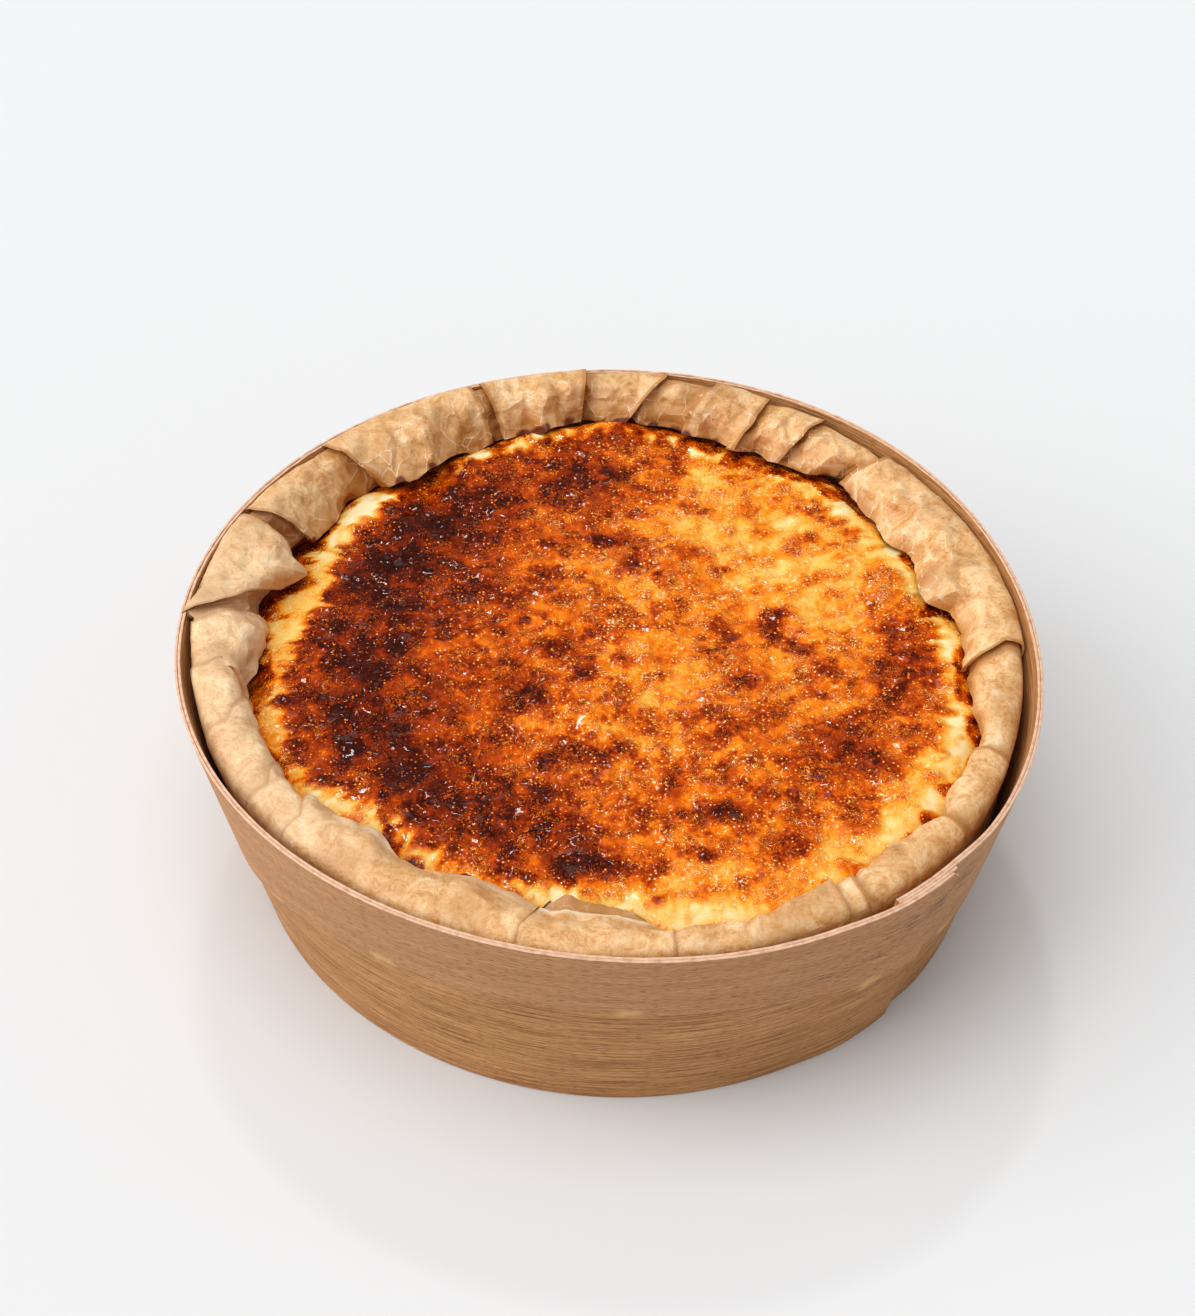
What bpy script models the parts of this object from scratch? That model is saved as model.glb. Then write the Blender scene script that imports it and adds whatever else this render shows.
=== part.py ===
"""A burnt Basque cheesecake in its bent-veneer baking mould, with the baking paper folded in over its edge.

The origin is the middle of the mould's underside, +Z is up, and the front of the cake faces -Y.
The veneer wall and the band round it are flat strips bent round until their ends lap at the front right.
"""

import math

import bmesh
import bpy
from mathutils import Vector, noise

MM = 0.001

# The mould, all in millimetres
HEIGHT = 48.0
BASE_RADIUS = 70.0
RIM_RADIUS = 80.0
BASE_SHIFT = 1.0  # the mould leans a little, so its base is off the rim's middle
# Waves round the rim: how many, share of the rim's radius, angle of a crest
RIM_LOBES = ((2, 0.0059, 135.0), (3, 0.013, 72.0), (4, 0.0033, 45.0))
BAND_THICK = 0.5
WALL_THICK = 0.8
BASE_THICK = 1.5
GAP = 0.3  # between pieces that touch
LAP_START = 308.0  # angle of the strips' inner ends
LAP_END = 317.6  # angle of their outer ends
LAP_EASE = 22.0  # angle over which a strip steps in or out for the lap
PAPER_EASE = 12.0  # angle over which the paper comes off the wall before the step
BAND_LOW = 17.5  # height of the band's lower edge at the back
BAND_RISE = 13.0  # how much higher it is at the front
BAND_HIGH_ANGLE = 262.0  # where the band's lower edge is highest
BAND_SPREAD = 48.0  # degrees to each side over which it rises
STRIP_COLUMNS = 104

# The paper
PAPER_THICK = 0.4
PLEAT_STEP = 0.5  # how far a pleat stands over its neighbour
SEAM_WIDTH = 1.3  # degrees that the step of a pleat takes
PANEL_COLUMNS = 4
FLOOR_RADIUS = 35.0
HEEL_HEIGHT = 5.0
HEEL_TUCK = 3.0
PAPER_LIFT = 21.0  # height where the paper starts to leave the wall
# Every 30 degrees from 0: gap to the wall at the crest, radius of the rolled edge, height of the crest
CREST_GAP = (1.9, 2.3, 1.6, 0.9, 0.9, 0.9, 0.9, 1.7, 1.4, 1.0, 1.0, 1.9)
ROLL_RADIUS = (3.6, 2.8, 2.0, 1.5, 1.6, 1.7, 2.4, 4.2, 4.0, 3.4, 3.2, 3.8)
CREST_HEIGHT = (46.3, 46.6, 47.0, 47.2, 47.0, 46.9, 46.8, 46.6, 46.8, 47.2, 47.2, 46.5)
# Pleats: angle of the seam at the crest and at the free edge, 1 where the panel after it lies on top or -1
# where the one before does, and the radius of the free edge along that panel, evenly spaced
PLEATS = (
    (2.7, -0.3, 1, (65.7, 67.6, 62.6, 66.3, 68.0)),
    (46.6, 50.9, -1, (70.3, 68.4, 67.4, 67.2, 67.2)),
    (58.2, 61.3, 1, (67.0, 66.4, 68.8, 68.8, 66.8)),
    (67.4, 69.2, 1, (66.4, 68.6, 69.6, 69.4, 68.6)),
    (75.9, 79.6, -1, (69.8, 71.2, 71.5, 71.8, 72.2)),
    (83.4, 89.2, 1, (72.2, 72.5, 73.6, 73.6, 73.4)),
    (95.5, 96.6, 1, (72.0, 70.0, 71.4, 70.9, 69.6)),
    (112.4, 110.9, 1, (69.8, 70.6, 66.0, 63.2, 66.4)),
    (138.5, 133.9, -1, (69.6, 71.3, 69.6, 68.5, 69.0)),
    (156.4, 155.0, 1, (70.0, 65.8, 63.4, 66.8, 68.4)),
    (179.0, 170.0, 1, (68.4, 66.8, 66.5, 66.5, 67.7)),
    (188.5, 188.9, 1, (70.0, 69.8, 69.6, 69.4, 69.2)),
    (200.2, 194.9, 1, (68.8, 68.8, 68.9, 68.2, 67.6)),
    (214.1, 210.7, 1, (68.0, 68.3, 68.0, 67.6, 67.2)),
    (222.0, 218.9, 1, (66.2, 63.4, 65.2, 62.3, 64.3)),
    (258.8, 261.7, -1, (64.5, 64.5, 64.6, 66.1, 68.3)),
    (279.3, 280.2, -1, (69.0, 68.8, 70.0, 69.7, 68.9)),
    (302.7, 305.6, -1, (69.1, 68.6, 68.6, 70.2, 72.0)),
    (324.6, 324.2, -1, (72.0, 70.9, 69.8, 69.9, 70.2)),
    (339.8, 340.4, -1, (70.3, 70.3, 68.2, 66.4, 65.4)),
)

# The cake
CAKE_GRID = 46
CAKE_FLOOR = 2.6
SKIN_HEIGHT = 41.6  # of the browned top near its edge
SKIN_DOME = 1.6  # its rise in the middle
SKIN_RADIUS = 66.0
SIDE_CLEAR = 1.0  # paper, gap and pleats between the cake's side and the paper's outer face
HEM_CLEAR = 1.25  # from the cake up to the paper's outer face at its free edge
# Every 30 degrees from 0: radius where the shoulder starts, and how far the shoulder falls to the side
SHOULDER_START = (65.0, 61.0, 63.0, 67.5, 61.0, 60.5, 60.0, 62.5, 60.0, 65.0, 67.5, 68.0)
SHOULDER_FALL = (4.5, 5.0, 4.5, 4.0, 6.5, 7.5, 7.5, 7.0, 5.5, 4.0, 4.0, 4.5)
RELIEF = ((17.0, 0.75), (6.5, 0.45))  # size and height of the skin's swellings
EDGE_WANDER = 1.6  # how far the shoulder's start wanders


def around(values, angle):
    """The smooth value at an angle in degrees, where evenly spaced values run once round."""
    step = 360.0 / len(values)
    place = (angle % 360.0) / step
    first = int(place) % len(values)
    t = place - int(place)
    a, b, c, d = (values[(first + k) % len(values)] for k in (-1, 0, 1, 2))
    return b + 0.5 * t * (c - a + t * (2 * a - 5 * b + 4 * c - d + t * (3 * (b - c) + d - a)))


def smooth(t):
    t = min(max(t, 0.0), 1.0)
    return t * t * (3.0 - 2.0 * t)


def polar(angle, radius, height):
    a = math.radians(angle)
    return Vector((radius * math.cos(a), radius * math.sin(a), height))


def mould_radius(angle, height):
    """Outer radius of the banded mould, from the origin's axis."""
    lobes = sum(share * math.cos(waves * math.radians(angle - crest)) for waves, share, crest in RIM_LOBES)
    rim = RIM_RADIUS * (1.0 + lobes)
    base = BASE_RADIUS + BASE_SHIFT * math.cos(math.radians(angle))
    return base + (rim - base) * height / HEIGHT


def lap_depth(angle):
    """1 where the wall's inner end lies under its outer end, easing to 0 past the lap."""
    return 1.0 - smooth((angle - LAP_END) / LAP_EASE)


def wall_inside(angle, height):
    """Inner radius that the wall leaves free, eased over the step where its inner end starts."""
    angle = angle % 360.0
    lap = smooth((angle - LAP_START) / PAPER_EASE + 1.0) * lap_depth(angle)
    return mould_radius(angle, height) - BAND_THICK - GAP - WALL_THICK - lap * (WALL_THICK + GAP)


def band_edge(angle):
    turn = (angle - BAND_HIGH_ANGLE + 180.0) % 360.0 - 180.0
    return BAND_LOW + BAND_RISE * math.exp(-((turn / BAND_SPREAD) ** 4))


def bent_sheet(name, columns, rows, place):
    """A grid of columns by rows faces, each point put where place(u, v) says, with u and v from 0 to 1."""
    mesh = bpy.data.meshes.new(name)
    bm = bmesh.new()
    bmesh.ops.create_grid(bm, x_segments=columns, y_segments=rows, size=0.5)
    for v in bm.verts:
        v.co = place(v.co.x + 0.5, v.co.y + 0.5) * MM
    bmesh.ops.remove_doubles(bm, verts=bm.verts, dist=1e-6)
    bm.to_mesh(mesh)
    bm.free()
    return add_object(name, mesh)


def add_object(name, mesh):
    obj = bpy.data.objects.new(name, mesh)
    parts.objects.link(obj)
    return obj


def finish(obj, material, sharp_degrees=40.0):
    obj.data.materials.append(material)
    obj.data.shade_smooth()
    obj.data.set_sharp_from_angle(angle=math.radians(sharp_degrees))
    return obj


def thicken(obj, thickness, offset):
    solid = obj.modifiers.new("thickness", "SOLIDIFY")
    solid.thickness = thickness * MM
    solid.offset = offset
    return obj


def make_material(name, colour, roughness):
    material = bpy.data.materials.new(name)
    material.use_nodes = True
    shader = material.node_tree.nodes["Principled BSDF"]
    shader.inputs["Base Color"].default_value = (*colour, 1.0)
    shader.inputs["Roughness"].default_value = roughness
    shader.inputs["Metallic"].default_value = 0.0
    return material


def wall(material):
    """The full-height veneer strip, from its inner end round to its outer end."""
    turn = 360.0 + LAP_END - LAP_START

    def place(u, v):
        angle = LAP_START + turn * u
        depth = BAND_THICK + GAP + lap_depth(angle) * (WALL_THICK + GAP)
        return polar(angle, mould_radius(angle, v * HEIGHT) - depth, v * HEIGHT)

    return finish(thicken(bent_sheet("tub_wall", STRIP_COLUMNS, 2, place), WALL_THICK, -1.0), material)


def band(material):
    """The second strip glued round the upper part. Its outer end stands over its inner one."""
    turn = 360.0 + LAP_END - LAP_START

    def place(u, v):
        angle = LAP_START + turn * u
        over = smooth((angle - 360.0 - LAP_START + LAP_EASE) / LAP_EASE)
        low = band_edge(angle)
        height = low + (HEIGHT - low) * v
        return polar(angle, mould_radius(angle, height) + over * (BAND_THICK + GAP), height)

    return finish(thicken(bent_sheet("tub_band", STRIP_COLUMNS, 1, place), BAND_THICK, -1.0), material)


def base(material):
    """The veneer disc inside the foot of the wall."""
    mesh = bpy.data.meshes.new("tub_base")
    bm = bmesh.new()
    radius = (BASE_RADIUS - BAND_THICK - 2 * WALL_THICK - 3 * GAP) * MM
    bmesh.ops.create_cone(
        bm, cap_ends=True, segments=72, radius1=radius, radius2=radius, depth=BASE_THICK * MM
    )
    bm.to_mesh(mesh)
    bm.free()
    disc = add_object("tub_base", mesh)
    disc.location = (BASE_SHIFT * MM, 0.0, BASE_THICK * MM / 2)
    return finish(disc, material)


def skin_height(x, y):
    """Height of the cake's top surface, without the shoulder."""
    r = math.hypot(x, y)
    height = SKIN_HEIGHT + SKIN_DOME * (1.0 - (r / SKIN_RADIUS) ** 2)
    for size, rise in RELIEF:
        height += rise * noise.noise(Vector((x / size, y / size, size)))
    return height


def cake_side(angle, height):
    return paper_wall(angle, height) - SIDE_CLEAR


def cake_top(angle, radius):
    """Height of the cake's top, with the shoulder that falls away to its side."""
    p = polar(angle, radius, 0.0)
    side = cake_side(angle, SKIN_HEIGHT - around(SHOULDER_FALL, angle))
    wander = EDGE_WANDER * noise.noise(Vector((p.x / 9.0, p.y / 9.0, 4.0)))
    start = around(SHOULDER_START, angle) + wander
    t = max(0.0, (radius - start) / (side - start))
    return skin_height(p.x, p.y) - around(SHOULDER_FALL, angle) * (0.45 * t + 0.55 * t * t)


def disc_of_square(x, y):
    """Angle and radius, up to 1, of the disc point that a point of the square from -1 to 1 goes to."""
    if x == 0.0 and y == 0.0:
        return 0.0, 0.0
    if abs(x) > abs(y):
        return (45.0 * y / x) % 360.0 if x > 0 else 180.0 + 45.0 * y / x, abs(x)
    return (90.0 - 45.0 * x / y) if y > 0 else 270.0 - 45.0 * x / y, abs(y)


def cheesecake(material):
    """A square grid laid on the disc of the top, whose border is drawn down to the floor."""
    mesh = bpy.data.meshes.new("cheesecake")
    bm = bmesh.new()
    bmesh.ops.create_grid(bm, x_segments=CAKE_GRID, y_segments=CAKE_GRID, size=1.0)
    for v in bm.verts:
        angle, share = disc_of_square(round(v.co.x, 6), round(v.co.y, 6))
        fall = around(SHOULDER_FALL, angle)
        radius = share * cake_side(angle, SKIN_HEIGHT - fall)
        v.co = polar(angle, radius, cake_top(angle, radius)) * MM
    for height, tuck in ((PAPER_LIFT, 0.0), (HEEL_HEIGHT + 0.6, 0.0), (CAKE_FLOOR, HEEL_TUCK + 0.6)):
        border = [e for e in bm.edges if e.is_boundary]
        drawn = bmesh.ops.extrude_edge_only(bm, edges=border)["geom"]
        for v in (g for g in drawn if isinstance(g, bmesh.types.BMVert)):
            angle = math.degrees(math.atan2(v.co.y, v.co.x))
            v.co = polar(angle, cake_side(angle, height) - tuck, height) * MM
    bmesh.ops.holes_fill(bm, edges=[e for e in bm.edges if e.is_boundary], sides=0)
    bmesh.ops.recalc_face_normals(bm, faces=bm.faces)
    bm.to_mesh(mesh)
    bm.free()
    return finish(add_object("cheesecake", mesh), material, 60.0)


def paper_wall(angle, height):
    """Radius of the paper's outer face where it stands against the wall."""
    gap = GAP + 0.2 + (around(CREST_GAP, angle) - GAP - 0.2) * smooth(height / PAPER_LIFT - 1.0)
    return wall_inside(angle, height) - gap


def hem_point(angle, radius):
    return radius, cake_top(angle, radius) + HEM_CLEAR


def paper_profile(angle, foot_angle, hem_radius):
    """Radius, height, share of the pleat's step and share of the way from the crest to the free edge."""
    roll = around(ROLL_RADIUS, angle)
    crest = around(CREST_HEIGHT, angle)
    out = paper_wall(angle, crest - roll)
    floor = BASE_THICK + GAP
    rows = [(0.0, floor, 0.0, 0.0), (FLOOR_RADIUS, floor, 0.0, 0.0)]
    rows.append((paper_wall(angle, floor) - HEEL_TUCK, floor, 0.0, 0.0))
    for height in (HEEL_HEIGHT, PAPER_LIFT, crest - roll * 2.2):
        rows.append((paper_wall(angle, height), height, 0.0, 0.0))
    rows.append((out, crest - roll, 0.25, 0.0))
    rows.append((out - 0.3 * roll, crest - 0.3 * roll, 0.75, 0.0))
    rows.append((out - roll, crest, 1.0, 0.0))
    start = Vector(rows[-1][:2])
    end = Vector(hem_point(foot_angle, hem_radius))
    run = start.x - end.x
    for t in (0.33, 0.67, 1.0):
        first = start + Vector((-0.4 * run, 0.0))
        second = end + Vector((0.3 * run, 0.3 * (start.y - end.y)))
        s = 1.0 - t
        p = start * s**3 + first * 3 * s * s * t + second * 3 * s * t * t + end * t**3
        rows.append((p.x, p.y, 1.0, t))
    return rows


def liner_columns():
    """For each column of the paper: angle at the crest and at the free edge, the edge's radius, pleat height."""
    columns = []
    for k, (seam, foot_seam, over, hems) in enumerate(PLEATS):
        following = PLEATS[(k + 1) % len(PLEATS)]
        turn = 360.0 if k + 1 == len(PLEATS) else 0.0
        starts_high = 1.0 if over > 0 else 0.0
        ends_high = 1.0 if following[2] < 0 else 0.0
        for column in range(PANEL_COLUMNS + 1):
            t = column / PANEL_COLUMNS
            inset = SEAM_WIDTH * (0.5 - t)
            angle = seam + (following[0] + turn - seam) * t + inset
            foot_angle = foot_seam + (following[1] + turn - foot_seam) * t + inset
            columns.append((angle, foot_angle, hems[column], starts_high + (ends_high - starts_high) * t))
    return columns


def liner(material):
    """One sheet of baking paper, pleated round and folded in over the cake's edge."""
    columns = liner_columns()
    first = columns[0]
    columns.append((first[0] + 360.0, first[1] + 360.0, *first[2:]))
    profiles = [paper_profile(angle % 360.0, foot_angle % 360.0, hem) for angle, foot_angle, hem, _ in columns]
    last_row = len(profiles[0]) - 1

    def place(u, v):
        column = round(u * (len(columns) - 1))
        row = round(v * last_row)
        radius, height, share, t = profiles[column][row]
        angle, foot_angle, _, high = columns[column]
        step = PLEAT_STEP * high * share
        return polar(angle + (foot_angle - angle) * t, radius + 0.2 * step, height + step)

    sheet = bent_sheet("liner", len(columns) - 1, last_row, place)
    return finish(thicken(sheet, PAPER_THICK, -1.0), material)


for old in list(bpy.data.objects):
    bpy.data.objects.remove(old)
parts = bpy.data.collections.new("basque_cheesecake")
bpy.context.scene.collection.children.link(parts)

veneer = make_material("poplar_veneer", (0.47, 0.29, 0.17), 0.75)
band_veneer = make_material("poplar_band", (0.43, 0.26, 0.16), 0.75)
baking_paper = make_material("baking_paper", (0.62, 0.41, 0.21), 0.55)
burnt_cream = make_material("burnt_cream", (0.50, 0.16, 0.03), 0.3)

wall(veneer)
band(band_veneer)
base(veneer)
liner(baking_paper)
cheesecake(burnt_cream)
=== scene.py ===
from math import atan2, cos, degrees, exp, hypot, pi, radians, sin

import bpy
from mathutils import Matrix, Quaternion, Vector, noise


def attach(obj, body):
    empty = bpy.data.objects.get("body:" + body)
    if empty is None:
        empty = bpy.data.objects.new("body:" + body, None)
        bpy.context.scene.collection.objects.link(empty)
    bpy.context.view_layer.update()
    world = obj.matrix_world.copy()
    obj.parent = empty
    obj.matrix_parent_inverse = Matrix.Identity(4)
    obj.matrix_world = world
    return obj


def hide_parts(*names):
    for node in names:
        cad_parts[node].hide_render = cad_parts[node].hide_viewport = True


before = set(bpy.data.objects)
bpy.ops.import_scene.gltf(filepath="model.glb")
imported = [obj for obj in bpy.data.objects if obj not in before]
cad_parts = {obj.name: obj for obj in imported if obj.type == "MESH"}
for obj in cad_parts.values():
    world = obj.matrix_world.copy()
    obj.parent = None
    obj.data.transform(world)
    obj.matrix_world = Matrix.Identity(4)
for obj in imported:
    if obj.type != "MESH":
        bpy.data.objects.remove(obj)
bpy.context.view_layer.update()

# Burnt Basque cheesecake in a veneer baking mould, with the baking paper folded in over its edge.
# Shapes are worked out in millimetres round the mould's middle and put in the meshes in metres.
mm = 0.001


def smoothStep(t):
    t = min(max(t, 0.0), 1.0)
    return t * t * (3.0 - 2.0 * t)


def mixed(a, b, t):
    return a + (b - a) * t


def turnFrom(angle, middle):
    return (angle - middle + 180.0) % 360.0 - 180.0


def hump(angle, middle, width, power=2):
    # 1 at the middle angle, falling away to both sides of it
    return exp(-abs(turnFrom(angle, middle) / width) ** power)


def humps(places, angle):
    # each place has its angle, half width in degrees and amount
    return sum(amount * hump(angle, middle, wide, 4) for middle, wide, amount in places)


def tent(distance, width):
    return max(0.0, 1.0 - abs(distance) / width)


def roundRing(values, angle):
    # smooth value at an angle, from values that run evenly once round
    place = (angle % 360.0) * len(values) / 360.0
    first = int(place)
    t = place - first
    a, b, c, d = (values[(first + k) % len(values)] for k in (-1, 0, 1, 2))
    return b + 0.5 * t * (c - a + t * (2 * a - 5 * b + 4 * c - d + t * (3 * (b - c) + d - a)))


def ringPoint(angle, radius, height):
    return Vector((radius * cos(radians(angle)), radius * sin(radians(angle)), height))


def rough(point, size, seed=0.0):
    return noise.noise(point / size + Vector((seed, -seed, 0.37 * seed)))


def facets(point, size, seed=0.0):
    # flat planes that meet in sharp edges, as in paper that has been crumpled
    near = noise.voronoi(point / size + Vector((seed, seed, -seed)), distance_metric="MANHATTAN")[0][0]
    return near - 0.55


def freshGrid(name, columns, rows):
    bpy.ops.object.select_all(action="DESELECT")
    bpy.ops.mesh.primitive_grid_add(x_subdivisions=columns, y_subdivisions=rows, size=1.0)
    sheet = bpy.context.object
    sheet.name = name
    sheet.data.name = name
    return sheet


def placePoints(piece, place):
    # the flat sheet's points go where place(u, v) says, u and v running from 0 to 1
    for point in piece.data.vertices:
        point.co = place(point.co.x + 0.5, point.co.y + 0.5) * mm


def pickOnly(piece):
    bpy.ops.object.select_all(action="DESELECT")
    piece.select_set(True)
    bpy.context.view_layer.objects.active = piece


def applyModifier(piece, name, kind, **settings):
    pickOnly(piece)
    modifier = piece.modifiers.new(name, kind)
    for key, value in settings.items():
        setattr(modifier, key, value)
    bpy.ops.object.modifier_apply(modifier=modifier.name)


def weld(piece, distance=0.004 * mm):
    pickOnly(piece)
    bpy.ops.object.mode_set(mode="EDIT")
    bpy.ops.mesh.select_all(action="SELECT")
    bpy.ops.mesh.remove_doubles(threshold=distance)
    bpy.ops.object.mode_set(mode="OBJECT")


def shadeSmooth(piece, sharpAngle):
    pickOnly(piece)
    bpy.ops.object.shade_smooth_by_angle(angle=radians(sharpAngle))


def storeValue(piece, name, values):
    attribute = piece.data.attributes.new(name, "FLOAT", "POINT")
    attribute.data.foreach_set("value", values)


def paint(hexColour):
    # sRGB hex to the linear colour that shaders take
    channels = (int(hexColour[k:k + 2], 16) / 255.0 for k in (1, 3, 5))
    return (*((c / 12.92) if c <= 0.04045 else ((c + 0.055) / 1.055) ** 2.4 for c in channels), 1.0)


def addNode(material, kind, sockets={}, stops=(), **settings):
    # a socket takes a number, another node's socket, or a node, which stands for its first output
    node = material.node_tree.nodes.new("ShaderNode" + kind)
    for name, value in settings.items():
        setattr(node, name, value)
    for name, value in sockets.items():
        value = value.outputs[0] if isinstance(value, bpy.types.ShaderNode) else value
        if isinstance(value, bpy.types.NodeSocket):
            material.node_tree.links.new(value, node.inputs[name])
        else:
            node.inputs[name].default_value = value
    for k, (position, colour) in enumerate(stops):
        element = node.color_ramp.elements[k] if k < 2 else node.color_ramp.elements.new(position)
        element.position = position
        element.color = paint(colour)
    return node


def newMaterial(name, **finish):
    material = bpy.data.materials.new(name)
    material.use_nodes = True
    shader = material.node_tree.nodes["Principled BSDF"]
    for socket, value in finish.items():
        shader.inputs[socket.replace("_", " ")].default_value = value
    return material, shader.inputs


veneerLook = {
    # length, width and detail
    "grain": (
        (16 * mm, 0.32 * mm, 2.0),  # level lines of rotary-cut poplar
        (40 * mm, 5 * mm, 3.0),  # slow change of tone up the strip
        (2.0 * mm, 0.3 * mm, 1.0),  # pores, as short dark dashes
        (2.5 * mm, 0.35 * mm, 2.0),  # raised fibres
    ),
    "splitLength": 6 * mm,
    "splitWidth": 0.42 * mm,
    "tornFibre": 1.3 * mm,  # on the sawn edges
}


def veneerMaterial(name, light, middle, dark, poreColour, lineStrength, poreStrength):
    # Rotary-cut poplar veneer, unfinished: dull, with fine level lines, short dark pores and raised fibres
    material, shader = newMaterial(name, Roughness=0.72, IOR=1.45)
    flat = addNode(material, "UVMap")
    grain = []
    for length, width, detail in veneerLook["grain"]:
        along = addNode(material, "Mapping", {"Vector": flat, "Scale": (1 / length, 1 / width, 1)})
        grain.append(addNode(material, "TexNoise", {"Vector": along, "Scale": 1.0, "Detail": detail}))
    lines, tone, pores, fuzz = grain
    poreMask = addNode(material, "ValToRGB", {0: pores}, [(0.585, "#000000"), (0.67, "#FFFFFF")])
    # thin dark lines, paler wood between them
    lineShare = addNode(material, "MapRange", {
        0: lines, 1: 0.36, 2: 0.56, 3: -lineStrength, 4: lineStrength * 0.6})
    share = addNode(material, "Math", {0: tone, 1: 0.24, 2: lineShare}, operation="MULTIPLY_ADD")
    share = addNode(material, "Math", {0: fuzz, 1: 0.26, 2: share}, operation="MULTIPLY_ADD")
    centred = addNode(material, "Math", {0: share, 1: 0.24}, operation="ADD")
    wood = addNode(material, "ValToRGB", {0: centred}, [(0.26, dark), (0.74, light), (0.5, middle)])
    weak = addNode(material, "Math", {0: poreMask, 1: poreStrength}, operation="MULTIPLY")
    pored = addNode(material, "Mix", {0: weak, 6: wood, 7: paint(poreColour)}, data_type="RGBA")
    glue = addNode(material, "Attribute", attribute_name="glue")
    glued = addNode(material, "Mix", {
        0: glue.outputs["Fac"], 6: pored.outputs[2], 7: paint("#DDB273")}, data_type="RGBA")
    height = addNode(material, "Math", {0: lines, 1: weak}, operation="SUBTRACT")
    height = addNode(material, "Math", {0: fuzz, 1: 0.8, 2: height}, operation="MULTIPLY_ADD")
    bump = addNode(material, "Bump", {"Height": height, "Strength": 0.6, "Distance": 0.16 * mm})
    material.node_tree.links.new(bump.outputs[0], shader["Normal"])
    material.node_tree.links.new(glued.outputs[2], shader["Base Color"])
    return material, shader, flat, glued.outputs[2]


def wallVeneer():
    return veneerMaterial("poplarVeneer", "#D5A169", "#B27B46", "#845123", "#5A361A", 0.17, 0.45)[0]


def bandVeneer():
    # The outer strip is pinker and closer grained, with dark splits near the lap
    material, shader, flat, wood = veneerMaterial(
        "poplarBandVeneer", "#DAA676", "#BC8656", "#926036", "#5E351C", 0.1, 0.72)
    splitMap = addNode(material, "Mapping", {
        "Vector": flat, "Scale": (1 / veneerLook["splitLength"], 1 / veneerLook["splitWidth"], 1)})
    splitNoise = addNode(material, "TexNoise", {"Vector": splitMap, "Scale": 1.0, "Detail": 2.0})
    worn = addNode(material, "Attribute", attribute_name="split")
    splitShare = addNode(material, "Math", {0: splitNoise, 1: worn.outputs["Fac"]}, operation="MULTIPLY")
    splitMask = addNode(material, "ValToRGB", {0: splitShare}, [(0.52, "#000000"), (0.57, "#FFFFFF")])
    split = addNode(material, "Mix", {0: splitMask, 6: wood, 7: paint("#54301A")}, data_type="RGBA")
    material.node_tree.links.new(split.outputs[2], shader["Base Color"])
    return material


def cutVeneer():
    # Sawn edge of the veneer, paler and pinker than its face, with torn fibres
    material, shader = newMaterial("sawnVeneerEdge", Roughness=0.85, IOR=1.45)
    place = addNode(material, "TexCoord").outputs["Object"]
    fibres = addNode(material, "TexNoise", {
        "Vector": place, "Scale": 1 / veneerLook["tornFibre"], "Detail": 3.0})
    wood = addNode(material, "ValToRGB", {0: fibres}, [
        (0.28, "#CB9A78"), (0.7, "#E8C3A4"), (0.46, "#DDB192")])
    bump = addNode(material, "Bump", {"Height": fibres, "Strength": 0.5, "Distance": 0.12 * mm})
    material.node_tree.links.new(wood.outputs[0], shader["Base Color"])
    material.node_tree.links.new(bump.outputs[0], shader["Normal"])
    return material


paperLook = {
    "cloudSize": 4.5 * mm,  # mottling
    "fibreSize": 2.2 * mm,
    "facetSize": 5.5 * mm,  # between the creases of crumpled paper
}


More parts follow.
